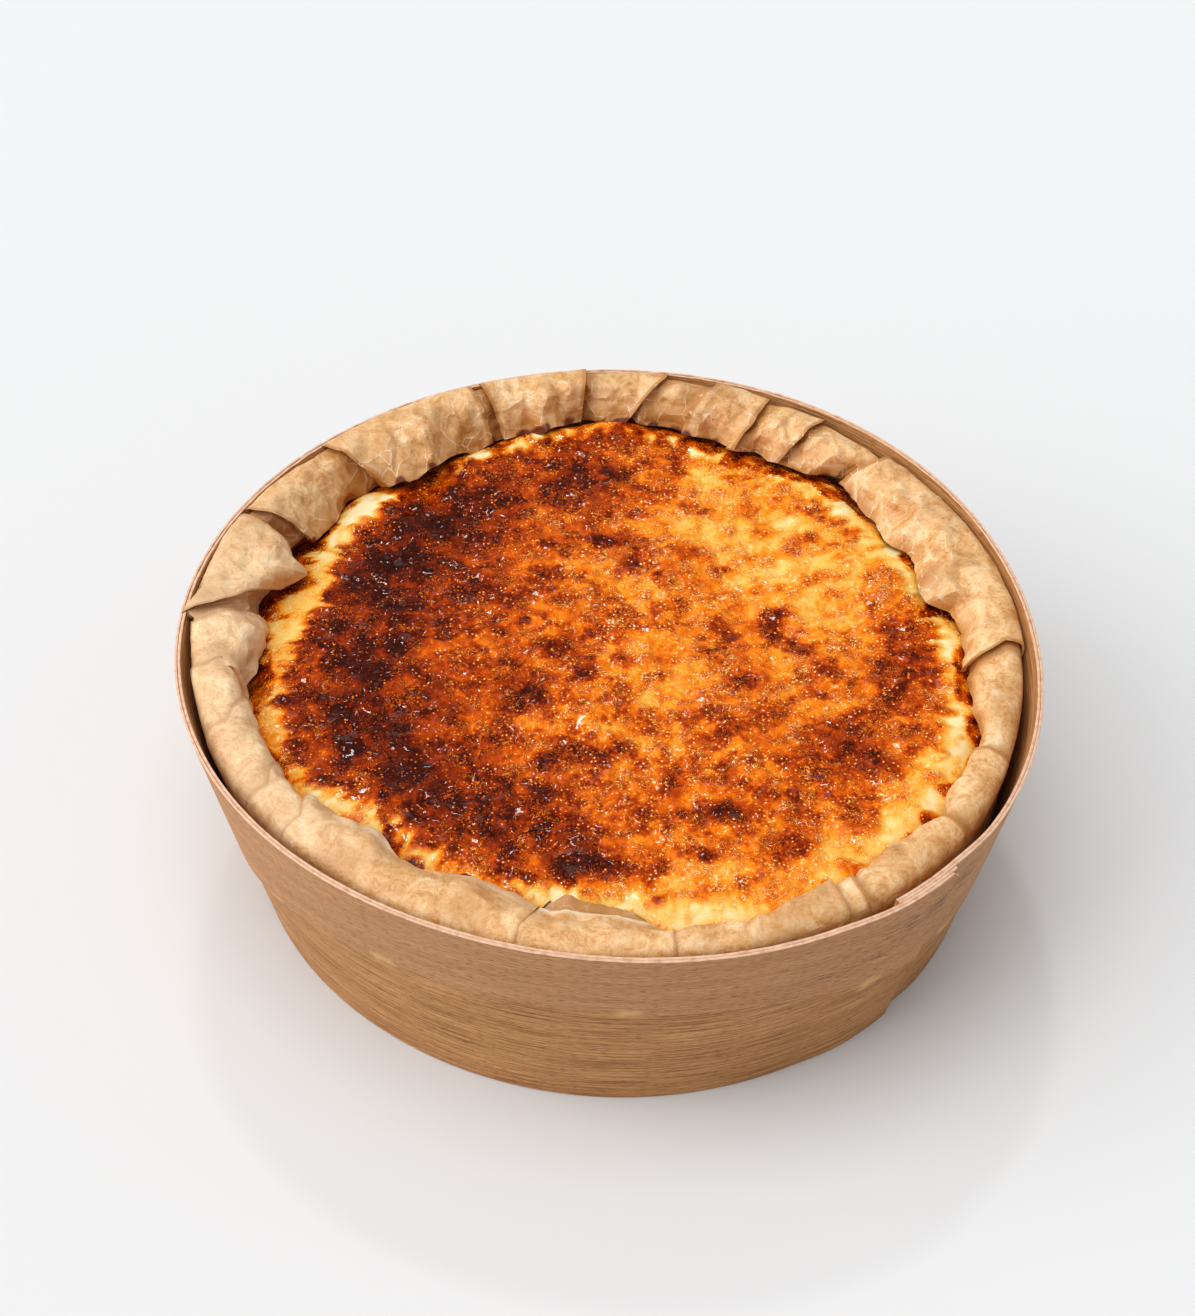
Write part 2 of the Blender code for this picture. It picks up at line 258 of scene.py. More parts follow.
def bakingPaper():
    # Unbleached baking paper: satin, mottled with long fibres, oily and browned where it met the cake, with
    # painted shade along its pleats and painted highlights on its edges
    material, shader = newMaterial("unbleachedBakingPaper", Roughness=0.42, IOR=1.47)
    place = addNode(material, "TexCoord").outputs["Object"]
    clouds = addNode(material, "TexNoise", {
        "Vector": place, "Scale": 1 / paperLook["cloudSize"], "Detail": 6.0, "Roughness": 0.7,
        "Distortion": 0.8})
    fibres = addNode(material, "TexNoise", {
        "Vector": place, "Scale": 1 / paperLook["fibreSize"], "Detail": 3.0, "Roughness": 0.6,
        "Distortion": 2.6})
    share = addNode(material, "Math", {0: clouds, 1: 0.72}, operation="MULTIPLY")
    share = addNode(material, "Math", {0: fibres, 1: 0.28, 2: share}, operation="MULTIPLY_ADD")
    paper = addNode(material, "ValToRGB", {0: share}, [
        (0.39, "#C98B49"), (0.63, "#FADBAB"), (0.5, "#E7B375")])
    # long pale fibres show as thin curls where the noise crosses its middle value
    middle = addNode(material, "Math", {0: fibres, 1: 0.5}, operation="SUBTRACT")
    distance = addNode(material, "Math", {0: middle}, operation="ABSOLUTE")
    curl = addNode(material, "MapRange", {0: distance, 1: 0.0, 2: 0.02, 3: 0.6, 4: 0.0})
    fibred = addNode(material, "Mix", {0: curl, 6: paper, 7: paint("#F8DDB6")}, data_type="RGBA")
    # oil stains on the paper, and painted shade in the same oily colour: dark lines of shadow along the
    # pleats and behind the doubled edge
    oilAndShade = addNode(material, "Attribute", attribute_name="oilAndShade")
    oilyAndShaded = addNode(material, "Mix", {
        0: oilAndShade.outputs["Fac"], 6: fibred.outputs[2], 7: paint("#B77A38")}, data_type="RGBA")
    burn = addNode(material, "Attribute", attribute_name="burn")
    burnShare = addNode(material, "Math", {0: clouds, 1: 0.5, 2: burn.outputs["Fac"]},
                        operation="MULTIPLY_ADD")
    burnMask = addNode(material, "ValToRGB", {0: burnShare}, [(0.62, "#000000"), (0.78, "#FFFFFF")])
    # flat facets with pale scuffed creases between them, where the paper was crumpled
    crumpled = addNode(material, "Attribute", attribute_name="crumple").outputs["Fac"]
    facetMap = addNode(material, "Mapping", {"Vector": place, "Scale": (1 / paperLook["facetSize"],) * 3})
    facet = addNode(material, "TexVoronoi", {"Vector": facetMap, "Scale": 1.0}, distance="MANHATTAN")
    nextFacet = addNode(material, "TexVoronoi", {
        "Vector": facetMap, "Scale": 1.0}, distance="MANHATTAN", feature="F2")
    between = addNode(material, "Math", {0: nextFacet.outputs["Distance"], 1: facet.outputs["Distance"]},
                      operation="SUBTRACT")
    crease = addNode(material, "MapRange", {0: between, 1: 0.0, 2: 0.045, 3: 0.8, 4: 0.0})
    broken = addNode(material, "MapRange", {0: clouds, 1: 0.42, 2: 0.54, 3: 0.0, 4: 1.0})
    creaseShare = addNode(material, "Math", {0: crease, 1: crumpled}, operation="MULTIPLY")
    creaseShare = addNode(material, "Math", {0: creaseShare, 1: broken}, operation="MULTIPLY")
    # paler paper, mostly painted highlight: a pale line on the edge of each pleat's top panel and on the
    # doubled edge's fold, painted light on the left side, and a paler free edge at the front left
    highlightAndPale = addNode(material, "Attribute", attribute_name="highlightAndPale").outputs["Fac"]
    pale = addNode(material, "Math", {0: creaseShare, 1: highlightAndPale}, operation="MAXIMUM")
    creased = addNode(material, "Mix", {
        0: pale, 6: oilyAndShaded.outputs[2], 7: paint("#FCE9CC")}, data_type="RGBA")
    burnt = addNode(material, "Mix", {
        0: burnMask, 6: creased.outputs[2], 7: paint("#6B2607")}, data_type="RGBA")
    facetHeight = addNode(material, "Math", {
        0: facet.outputs["Distance"], 1: crumpled}, operation="MULTIPLY")
    height = addNode(material, "Math", {0: facetHeight, 1: 3.0, 2: share}, operation="MULTIPLY_ADD")
    bump = addNode(material, "Bump", {"Height": height, "Strength": 0.8, "Distance": 0.4 * mm})
    material.node_tree.links.new(burnt.outputs[2], shader["Base Color"])
    material.node_tree.links.new(bump.outputs[0], shader["Normal"])
    return material


crustLook = {
    "blisterSize": 3.0 * mm,
    "clusterSize": 4.6 * mm,  # crowds of bubbles
    "bubbleSize": 0.8 * mm,
    "wrinkleSize": 2.3 * mm,
    "curlSize": 1.5 * mm,
}


def burntCream():
    # Baked cream custard: cream to gold where pale, then orange, red-brown and black, with an oily gloss
    material, shader = newMaterial(
        "burntCream", Roughness=0.5, IOR=1.35, Specular_IOR_Level=0.0, Coat_Weight=0.3, Coat_Roughness=0.06,
        Coat_IOR=1.45, Subsurface_Weight=0.8, Subsurface_Scale=0.3 * mm)
    shader["Subsurface Radius"].default_value = (1.0, 0.85, 0.7)
    place = addNode(material, "TexCoord").outputs["Object"]
    browning = addNode(material, "Attribute", attribute_name="browning").outputs["Fac"]
    # the pale shoulder has hardly any specks or bubbles
    cooked = addNode(material, "MapRange", {0: browning, 1: 0.1, 2: 0.42, 3: 0.15, 4: 1.0})
    blisters = addNode(material, "TexNoise", {
        "Vector": place, "Scale": 1 / crustLook["blisterSize"], "Detail": 2.0, "Roughness": 0.5,
        "Distortion": 0.8})
    blisterShare = addNode(material, "MapRange", {0: blisters, 1: 0.3, 2: 0.7, 3: -0.15, 4: 0.14})
    # crowds of tiny bubbles, darker between than the skin round them
    clusters = addNode(material, "TexNoise", {
        "Vector": place, "Scale": 1 / crustLook["clusterSize"], "Detail": 3.0, "Roughness": 0.6})
    crowd = addNode(material, "MapRange", {0: clusters, 1: 0.47, 2: 0.6, 3: 0.0, 4: 1.0})
    bubbles = addNode(material, "TexVoronoi", {
        "Vector": place, "Scale": 1 / crustLook["bubbleSize"], "Randomness": 1.0})
    between = addNode(material, "MapRange", {
        0: bubbles.outputs["Distance"], 1: 0.2, 2: 0.5, 3: 0.0, 4: 0.24})
    darker = addNode(material, "Math", {0: between, 1: crowd}, operation="MULTIPLY")
    skinned = addNode(material, "MapRange", {0: browning, 1: 0.28, 2: 0.46, 3: 0.15, 4: 1.0})
    darker = addNode(material, "Math", {0: darker, 1: skinned}, operation="MULTIPLY")
    # thin wrinkles where the skin has shrunk, lighter than the skin round them
    wrinkles = addNode(material, "TexNoise", {
        "Vector": place, "Scale": 1 / crustLook["wrinkleSize"], "Detail": 2.0, "Roughness": 0.5,
        "Distortion": 1.6})
    wrinkleMiddle = addNode(material, "Math", {0: wrinkles, 1: 0.5}, operation="SUBTRACT")
    wrinkleDistance = addNode(material, "Math", {0: wrinkleMiddle}, operation="ABSOLUTE")
    ridge = addNode(material, "MapRange", {0: wrinkleDistance, 1: 0.0, 2: 0.05, 3: 1.0, 4: 0.0})
    detail = addNode(material, "Math", {0: blisterShare, 1: darker}, operation="ADD")
    detail = addNode(material, "Math", {0: ridge, 1: -0.09, 2: detail}, operation="MULTIPLY_ADD")
    shade = addNode(material, "Math", {0: detail, 1: cooked, 2: browning}, operation="MULTIPLY_ADD")
    # about four in ten of the bubbles are bare of skin, with pale tops, which also stand for painted
    # highlights, glints on the bubbles
    chance = addNode(material, "SeparateColor", {0: bubbles.outputs["Color"]})
    picked = addNode(material, "MapRange", {0: chance, 1: 0.5, 2: 0.62, 3: 0.0, 4: 1.0})
    top = addNode(material, "MapRange", {0: bubbles.outputs["Distance"], 1: 0.14, 2: 0.3, 3: 1.0, 4: 0.0})
    paleTopAndGlint = addNode(material, "Math", {0: picked, 1: top}, operation="MULTIPLY")
    paleShare = addNode(material, "MapRange", {0: clusters, 1: 0.44, 2: 0.56, 3: 0.35, 4: 0.62})
    paleTopAndGlint = addNode(material, "Math", {0: paleTopAndGlint, 1: paleShare}, operation="MULTIPLY")
    # short bright curls of drawn skin, partly painted highlight: glints along the curls
    curls = addNode(material, "TexNoise", {
        "Vector": place, "Scale": 1 / crustLook["curlSize"], "Detail": 1.0, "Roughness": 0.5,
        "Distortion": 2.2})
    curlMiddle = addNode(material, "Math", {0: curls, 1: 0.5}, operation="SUBTRACT")
    curlDistance = addNode(material, "Math", {0: curlMiddle}, operation="ABSOLUTE")
    curl = addNode(material, "MapRange", {0: curlDistance, 1: 0.012, 2: 0.035, 3: 1.0, 4: 0.0})
    curlChance = addNode(material, "MapRange", {0: blisters, 1: 0.46, 2: 0.6, 3: 0.06, 4: 0.5})
    curlAndGlint = addNode(material, "Math", {0: curl, 1: curlChance}, operation="MULTIPLY")
    paler = addNode(material, "Math", {0: paleTopAndGlint, 1: curlAndGlint}, operation="MAXIMUM")
    paler = addNode(material, "Math", {0: paler, 1: cooked}, operation="MULTIPLY")
    # pale tops and curls, paler skin in part and painted highlight in part, are taken off the browning
    shade = addNode(material, "Math", {0: shade, 1: paler}, operation="SUBTRACT")
    crust = addNode(material, "ValToRGB", {0: shade}, [
        (0.0, "#FDE4B2"), (1.0, "#360B02"), (0.13, "#FCC460"), (0.27, "#FA9A22"), (0.4, "#EE770A"),
        (0.52, "#CC5102"), (0.66, "#A03400"), (0.79, "#781F00"), (0.9, "#521200")])
    dome = addNode(material, "MapRange", {
        0: bubbles.outputs["Distance"], 1: 0.0, 2: 0.4, 3: 1.0, 4: 0.0}, interpolation_type="SMOOTHSTEP")
    bubbled = addNode(material, "Math", {0: dome, 1: crowd}, operation="MULTIPLY")
    bubbled = addNode(material, "Math", {0: bubbled, 1: 0.45}, operation="MULTIPLY")
    relief = addNode(material, "Math", {0: ridge, 1: 0.35, 2: bubbled}, operation="MULTIPLY_ADD")
    relief = addNode(material, "Math", {0: paler, 1: 0.5, 2: relief}, operation="MULTIPLY_ADD")
    relief = addNode(material, "Math", {0: blisters, 1: 4.5, 2: relief}, operation="MULTIPLY_ADD")
    height = addNode(material, "Math", {0: relief, 1: cooked}, operation="MULTIPLY")
    bump = addNode(material, "Bump", {"Height": height, "Strength": 1.0, "Distance": 0.3 * mm})
    material.node_tree.links.new(crust.outputs[0], shader["Base Color"])
    material.node_tree.links.new(bump.outputs[0], shader["Normal"])
    return material


poplarVeneer = wallVeneer()
poplarBandVeneer = bandVeneer()
sawnVeneerEdge = cutVeneer()
paperMaterial = bakingPaper()
creamMaterial = burntCream()
print("materials made")

mould = {
    "height": 48.0,
    "rimRadius": 80.0,
    "baseRadius": 70.0,
    "baseShift": 1.0,
    "rimWaves": ((2, 0.0059, 135.0), (3, 0.013, 72.0), (4, 0.0033, 45.0)),
    "bandThickness": 0.5,
    "wallThickness": 0.55,
    "rimGap": 0.06,  # between the two strips
    "footGap": 0.08,
    "looseFoot": ((212, 48, 0.5),),  # wider gap at the left
    "lapStart": 308.1,  # inner ends of both strips
    "lapEnd": 317.6,  # outer ends
    "lapEase": 9.0,
    "lapOffset": 0.59,
    "bandLow": 17.5,
    "bandRise": ((262, 48, 13),),  # its lower edge is highest at the front
    "tornEdge": 0.12,
    "tornCorner": (1.2, 1.6),  # of the band's outer end, degrees along and millimetres down
    "easedEdge": 0.09,
    "columns": 900,
}


def mouldRadius(angle, height):
    waves = sum(share * cos(n * radians(angle - crest)) for n, share, crest in mould["rimWaves"])
    rim = mould["rimRadius"] * (1.0 + waves)
    base = mould["baseRadius"] + mould["baseShift"] * cos(radians(angle))
    return mixed(base, rim, height / mould["height"])


def lapDepth(angle):
    return 1.0 - smoothStep((angle - mould["lapEnd"]) / mould["lapEase"])


def lapShift(angle):
    # the strips are glued face to face: where they lap, their inner end goes in and their outer end out
    over = smoothStep((angle - 360.0 - mould["lapStart"] + mould["lapEase"]) / mould["lapEase"])
    return mould["lapOffset"] * (over - lapDepth(angle))


def wallDepth(angle, height):
    # from the band's outer face in to the wall's
    footGap = mould["footGap"] + humps(mould["looseFoot"], angle)
    return mould["bandThickness"] + mixed(footGap, mould["rimGap"], height / mould["height"])


def wallInside(angle, height):
    angle = angle % 360.0
    lap = smoothStep((angle - mould["lapStart"]) / 12.0 + 1.0) * lapDepth(angle)
    thickness = mould["wallThickness"]
    return mouldRadius(angle, height) - wallDepth(angle, height) - thickness - 0.6 * lap


def bandEdge(angle):
    return mould["bandLow"] + humps(mould["bandRise"], angle)


def bentStrip(name, rows, place, thickness):
    # a flat strip of veneer, bent round until its ends lap, its UV map in metres along and up the strip
    strip = freshGrid(name, mould["columns"], rows)
    girth = 2 * pi * mould["rimRadius"] * mm
    for corner in strip.data.uv_layers.active.data:
        corner.uv = (corner.uv.x * girth, corner.uv.y * mould["height"] * mm)
    placePoints(strip, place)
    applyModifier(strip, "thickness", "SOLIDIFY", thickness=thickness * mm, offset=-1.0)
    applyModifier(strip, "easedEdges", "BEVEL", width=mould["easedEdge"] * mm, segments=1,
                  limit_method="ANGLE", angle_limit=radians(50))
    shadeSmooth(strip, 40)
    return strip


def markSawnEdges(strip):
    strip.data.materials.append(sawnVeneerEdge)
    for face in strip.data.polygons:
        if abs(face.normal.z) > 0.45:
            face.material_index = 1


def wallPlace(u, v):
    angle = mixed(mould["lapStart"], 360.0 + mould["lapEnd"], u)
    height = mould["height"] * v
    if v == 1.0:
        height += mould["tornEdge"] * rough(ringPoint(angle, 80.0, 3.0), 2.2)
    return ringPoint(angle, mouldRadius(angle, height) - wallDepth(angle, height) + lapShift(angle), height)


def bandPlace(u, v):
    angle = mixed(mould["lapStart"], 360.0 + mould["lapEnd"], u)
    low = bandEdge(angle) + 0.35 * rough(ringPoint(angle, 80.0, 9.0), 7.0)
    height = mixed(low, mould["height"], v)
    if v == 1.0:
        height += mould["tornEdge"] * rough(ringPoint(angle, 80.0, 5.0), 1.8)
    # the outer end's upper corner is torn off
    cornerWidth, cornerDrop = mould["tornCorner"]
    corner = smoothStep((angle - 360.0 - mould["lapEnd"] + cornerWidth) / cornerWidth)
    corner *= smoothStep((v - 0.8) / 0.2)
    bow = 0.25 * rough(ringPoint(angle, 80.0, height), 22.0) * (1.0 - v) * (1.0 - lapDepth(angle))
    radius = mouldRadius(angle, height) + lapShift(angle) + bow
    return ringPoint(angle, radius, height - cornerDrop * corner)


wallStrip = bentStrip("veneerWall", 22, wallPlace, mould["wallThickness"])
wallStrip.data.materials.append(poplarVeneer)
markSawnEdges(wallStrip)

bandStrip = bentStrip("veneerBand", 16, bandPlace, mould["bandThickness"])
bandStrip.data.materials.append(poplarBandVeneer)
markSawnEdges(bandStrip)

wear = {
    # angle, height, how far they spread round in degrees and up in millimetres
    "splits": ((312.0, 40.0, 10.0, 4.5), (303.0, 33.0, 8.0, 2.0), (322.0, 38.0, 6.0, 5.0)),
    # angle, how far it spreads to both sides of the band's edge in millimetres and round in degrees
    "glue": ((239.5, 1.6, 1.8), (273.5, 1.2, 1.6), (308.0, 2.0, 1.8), (325.0, 2.4, 1.4), (218.0, 1.0, 2.0)),
}


def paintWear(strip):
    # dark splits, and dried glue to both sides of the band's lower edge
    splits, glue = [], []
    for point in strip.data.vertices:
        spot = point.co / mm
        angle = degrees(atan2(spot.y, spot.x)) % 360.0
        splits.append(min(1.0, 0.62 + sum(
            0.36 * hump(angle, a, wide) * exp(-((spot.z - z) / tall) ** 2)
            for a, z, wide, tall in wear["splits"])))
        above = spot.z - bandEdge(angle)
        ragged = 0.75 + 0.9 * rough(spot, 1.6, 7.0)
        glue.append(min(0.8, ragged * sum(
            hump(angle, a, wide, 4) * exp(-(above / tall) ** 4) for a, tall, wide in wear["glue"])))
    storeValue(strip, "split", splits)
    storeValue(strip, "glue", glue)


paintWear(bandStrip)
paintWear(wallStrip)
print("veneer mould made")

cake = {
    "skinHeight": 41.6,
    "dome": 1.6,
    "skinRadius": 66.0,
    "swellings": ((17.0, 0.75), (6.5, 0.45)),
    # from 0 degrees in steps of 15: where the browned skin ends
    "skinEdge": (62.7, 62, 60.5, 62, 64, 64.5, 69, 66, 64, 63, 61.5, 57.5,
                 60.4, 63, 64.5, 58.5, 60, 60, 58.5, 62.5, 67, 65, 64, 64),
    # from 0 degrees in steps of 30: how far the shoulder falls to the side
    "shoulderFall": (4.5, 5.0, 4.5, 4.0, 6.5, 7.5, 7.5, 7.0, 5.5, 4.0, 4.0, 4.5),
    # burnt lumps along the paper: angle, radius, half length round, half length out, height
    "lumps": ((90.0, 69.0, 6.0, 4.0, 1.3), (104.0, 70.0, 9.0, 3.0, 0.9), (137.0, 69.5, 4.0, 3.0, 0.9),
              (51.0, 70.0, 4.0, 3.0, 0.9), (157.0, 69.0, 4.0, 2.5, 0.8), (168.0, 67.0, 3.0, 2.0, 0.8)),
    # where the cake has shrunk away from the paper: angle, half width in degrees, how strongly
    "pockets": ((49.5, 4.5, 0.7), (95.0, 4.0, 0.2), (156.0, 4.0, 0.9), (188.5, 4.5, 1.0), (234.0, 6.5, 1.1),
                (207.0, 5.0, 0.5), (325.0, 4.5, 0.9), (345.0, 4.0, 0.5)),
    # where more burnt skin sticks to the paper: angle, half width in degrees, how much further in
    "stuckSkin": ((95, 35, 2.2), (68, 30, 1.6)),
    "pocketDepth": 1.3,
    "paperGap": 0.7,
    "sideRows": ((21.0, 0.0), (5.6, 0.0), (2.6, 3.6)),  # height, and how far in from the paper
    "grid": 300,
    "meanBrowning": 0.455,
    "leftBrowning": 0.18,
    "spotSpacing": 8.5,  # of the darker and paler spots scattered over the skin
    "warpSeed": 1795490422,  # of the vector noise that bends the spots
}


def skinHeight(x, y):
    radius = hypot(x, y)
    height = cake["skinHeight"] + cake["dome"] * (1.0 - (radius / cake["skinRadius"]) ** 2)
    for size, rise in cake["swellings"]:
        height += rise * noise.noise(Vector((x / size, y / size, size)))
    return height


def cakeTop(angle, radius):
    spot = ringPoint(angle, radius, 0.0)
    fall = roundRing(cake["shoulderFall"], angle)
    side = cakeSide(angle, cake["skinHeight"] - fall)
    start = roundRing(cake["skinEdge"], angle) + 0.8 + 1.2 * rough(spot, 9.0, 4.0)
    t = max(0.0, (radius - start) / (side - start))
    return skinHeight(spot.x, spot.y) - fall * (0.55 * t + 0.45 * t * t)


paper = {
    "thickness": 0.13,
    "floor": 1.9,
    "sideRows": (5.0, 13.0, 21.0, 27.0, 33.0, 38.0),  # heights
    "wallGap": 0.5,
    "pleatHeight": 1.15,
    "foldBack": 2.2,  # degrees that a pleat's hidden layer runs back
    "tuck": 1.2,  # how far a panel is pressed down beside the one that covers it
    "coveredWidth": 5.0,  # degrees of it that are pressed down
    "edgeShadowLine": 1.6,  # degrees of the dark line of painted shadow along the edge on top
    # from 0 degrees in steps of 15: radius of the crest, all under the rim
    "crestRadius": (77.0, 77.4, 77.4, 77.5, 78.0, 78.7, 79.3, 79.3, 79.2, 79.0, 78.8, 78.7,
                    78.5, 78.3, 78.0, 77.0, 76.6, 77.1, 77.6, 78.0, 78.3, 78.2, 77.6, 76.8),
    # from 0 degrees in steps of 30
    "crestHeight": (46.3, 46.6, 47.3, 47.9, 47.8, 47.6, 47.4, 47.0, 46.9, 47.2, 47.2, 46.5),
    "rollRadius": (3.6, 2.6, 1.4, 0.9, 1.0, 1.3, 2.2, 4.2, 4.0, 3.2, 3.2, 3.8),
    "belly": (0.7, 0.5, 0.3, 0.2, 0.2, 0.3, 0.6, 1.0, 0.3, 0.15, 0.5, 0.8),
    "crumple": (0.5, 0.9, 1.0, 1.0, 1.0, 0.9, 0.8, 0.5, 0.45, 0.4, 0.5, 0.5),
    "hemLift": 1.0,
    "highest": 49.4,  # its crumples stay below this
    # angle, half width and extra height where the free edge stands off the cake
    "liftedEdges": ((234, 6, 1.3), (95, 4, 0.4), (50, 5, 0.9), (155, 5, 0.9), (190, 5, 1), (163, 4, 0.9),
                    (324, 4, 0.7), (16, 5, 0.7), (214, 5, 0.8)),
    # angle, half width and strength of burnt cream on the free edge, of parts painted darker, and of
    # painted light: parts painted paler, on the left side
    "burntEdges": ((92, 24, 0.5), (131, 6, 0.55), (152, 8, 0.5), (208, 20, 0.5), (50, 8, 0.45),
                   (345, 18, 0.35)),
    "darkerParts": ((115, 62, 0.22), (262, 40, 0.12)),
    "paintedLightParts": ((192, 40, 0.2),),
    # angle, half width and strength of the free edge painted paler
    "paleEdge": (240, 22, 0.35),
    # the free edge is doubled back here: first and last angle, radius of the fold, how far it stands up
    "doubledEdge": (261.5, 279, 67.8, 1.7),
    # a corner of the sheet pokes out over the rim: where it starts, its tip and its end, how far out and up
    "corner": (170.5, 178.4, 180.6, 3.4, 0.9),
    "columnStep": 0.42,
    "flapRows": 24,
}
# Panels between pleats: angle of the pleat at the crest and at the free edge, 1 where this panel lies on
# top or -1 where the one before does (less for a flat pleat), how far it bows back, and the free edge as
# angles and radii
panels = (
    (2.7, -0.3, 1, 1.5, ((-0.3, 65.7), (6.2, 68.0), (9.6, 68.4), (14.2, 66.6), (15.5, 62.0), (18.3, 62.3),
                         (26.1, 65.5), (32.4, 68.2), (34.9, 66.4), (42.6, 68.1), (50.9, 69.9))),
    (46.6, 50.9, -1, 0.0, ((50.9, 70.7), (52.3, 71.1), (56.3, 67.5), (61.1, 67.2))),
    (58.2, 61.3, 1, 0.0, ((61.3, 67.2), (63.0, 66.2), (64.9, 68.7), (66.9, 69.3), (69.2, 66.8))),
    (67.4, 69.2, 1, 0.0, ((69.2, 66.0), (70.7, 68.3), (74.6, 69.9), (79.6, 68.4))),
    (75.9, 79.6, -1, -0.8, ((79.6, 69.8), (81.3, 71.2), (89.0, 72.3))),
    (83.4, 89.2, 1, 0.0, ((89.2, 72.2), (91.0, 72.5), (92.9, 73.8), (96.6, 73.4))),
    (95.5, 96.6, 1, 0.0, ((96.6, 72.0), (98.7, 70.6), (101.1, 69.7), (105.1, 72.1), (109.8, 69.8))),
    (111.6, 109.9, -1, 0.0, ((109.9, 69.6), (111.8, 69.6))),
    (113.2, 111.8, 1, 0.0, ((111.8, 69.8), (114.1, 71.8), (116.1, 71.7), (119.0, 68.2), (124.7, 65.1),
                            (129.5, 63.1), (131.4, 63.4), (133.8, 66.2))),
    (138.5, 133.9, -1, 0.0, ((133.9, 69.3), (136.5, 71.4), (140.4, 71.3), (148.1, 68.5), (151.6, 68.4))),
    (155.8, 151.7, -1, 0.0, ((151.7, 69.1), (154.1, 71.5), (159.2, 67.3))),
    (157.0, 159.2, 1, 0.0, ((159.2, 66.3), (162.2, 62.5), (164.5, 67.4))),
    (178.4, 164.5, -1, 0.0, ((164.5, 67.6), (165.9, 68.8), (172.1, 68.2))),
    (179.6, 172.1, 1, 1.0, ((172.1, 68.5), (177.8, 66.5), (185.8, 66.4), (188.5, 67.6))),
    (188.5, 188.9, 0.7, 2.6, ((188.9, 70.3), (194.8, 69.3))),
    (200.2, 194.9, 0.6, 2.2, ((194.9, 68.7), (202.0, 68.9), (210.1, 67.4))),
    (214.1, 210.7, 0.6, 2.6, ((210.7, 68.0), (213.2, 68.4), (218.8, 67.3))),
    (222.0, 218.9, 0.45, 2.0, ((218.9, 66.2), (226.4, 63.5), (229.5, 63.4), (233.7, 64.9), (236.8, 65.5),
                            (246.1, 63.1), (251.3, 62.2), (255.4, 62.7), (261.5, 64.3))),
    (258.8, 261.7, -0.12, 0.0, ((261.7, 64.5), (270.0, 64.4), (276.2, 66.1), (279.3, 68.5))),
    (279.3, 280.2, -0.3, 0.0, ((280.2, 69.1), (285.6, 68.8), (291.8, 70.1), (298.0, 69.7), (304.2, 68.9))),
    (302.7, 304.7, -0.5, 0.0, ((304.7, 69.1), (307.7, 69.1))),
    (305.8, 307.8, -0.7, 0.0, ((307.8, 69.2), (313.4, 68.5), (317.5, 68.7), (322.1, 70.7), (323.9, 72.5))),
    (324.6, 324.2, -1, 0.0, ((324.2, 72.3), (329.3, 70.6), (332.8, 69.7), (339.9, 70.1))),
    (339.8, 340.4, -1, 1.2, ((340.4, 70.3), (344.0, 70.4), (347.0, 69.8), (354.2, 66.7), (359.6, 65.3))),
)
# sharp folds within the panels: angle at the crest and at the free edge, height and half width in degrees
folds = (
    (41, 35, 0.9, 3.6), (33, 31, 0.6, 3), (28.5, 27, 0.5, 2.4), (22, 20, 0.4, 3),
    (54, 56, 0.6, 3), (63.3, 66.2, 0.9, 3), (72, 73.6, 0.4, 3), (80, 82.5, 0.4, 2.4),
    (90.5, 88, 0.5, 3.4), (101.5, 103.4, 1, 3.4), (107, 104.6, 0.6, 3), (122.5, 129.5, 1.3, 4.4),
    (117.5, 116.5, 0.7, 2.6), (131, 132.5, 0.4, 3), (145.5, 139.5, 0.6, 3.6), (149.5, 149, 0.3, 2.6),
    (168, 162.5, 0.6, 5), (183.5, 184, 0.4, 4), (235.5, 234, 0.5, 4), (250, 247, 0.3, 6),
    (281.5, 283, 0.5, 3), (295, 298, 0.5, 3), (312.5, 317.5, 0.7, 3), (331, 330, 0.4, 4),
    (350.5, 352, 0.5, 3.6), (10, 9, 0.3, 4), (256.5, 261, 0.7, 2.6), (264, 262.5, 0.5, 2),
    (298, 304, 0.6, 2.6), (309, 306.5, 0.7, 2.4), (226, 232, 0.4, 3), (243, 239, 0.4, 4),
)


def paperWall(angle, height):
    crestGap = wallInside(angle, mould["height"]) - roundRing(paper["crestRadius"], angle)
    share = smoothStep((height - 21.0) / 21.0)
    return wallInside(angle, height) - mixed(paper["wallGap"], max(crestGap, 0.15), share)


def cakeSide(angle, height):
    return paperWall(angle, height) - cake["paperGap"]


def edgeRadius(edge, angle):
    # straight cuts between the edge's corners
    for (a, r), (b, s) in zip(edge, edge[1:]):
        if angle <= b:
            return mixed(r, s, max(angle - a, 0.0) / (b - a))
    return edge[-1][1]


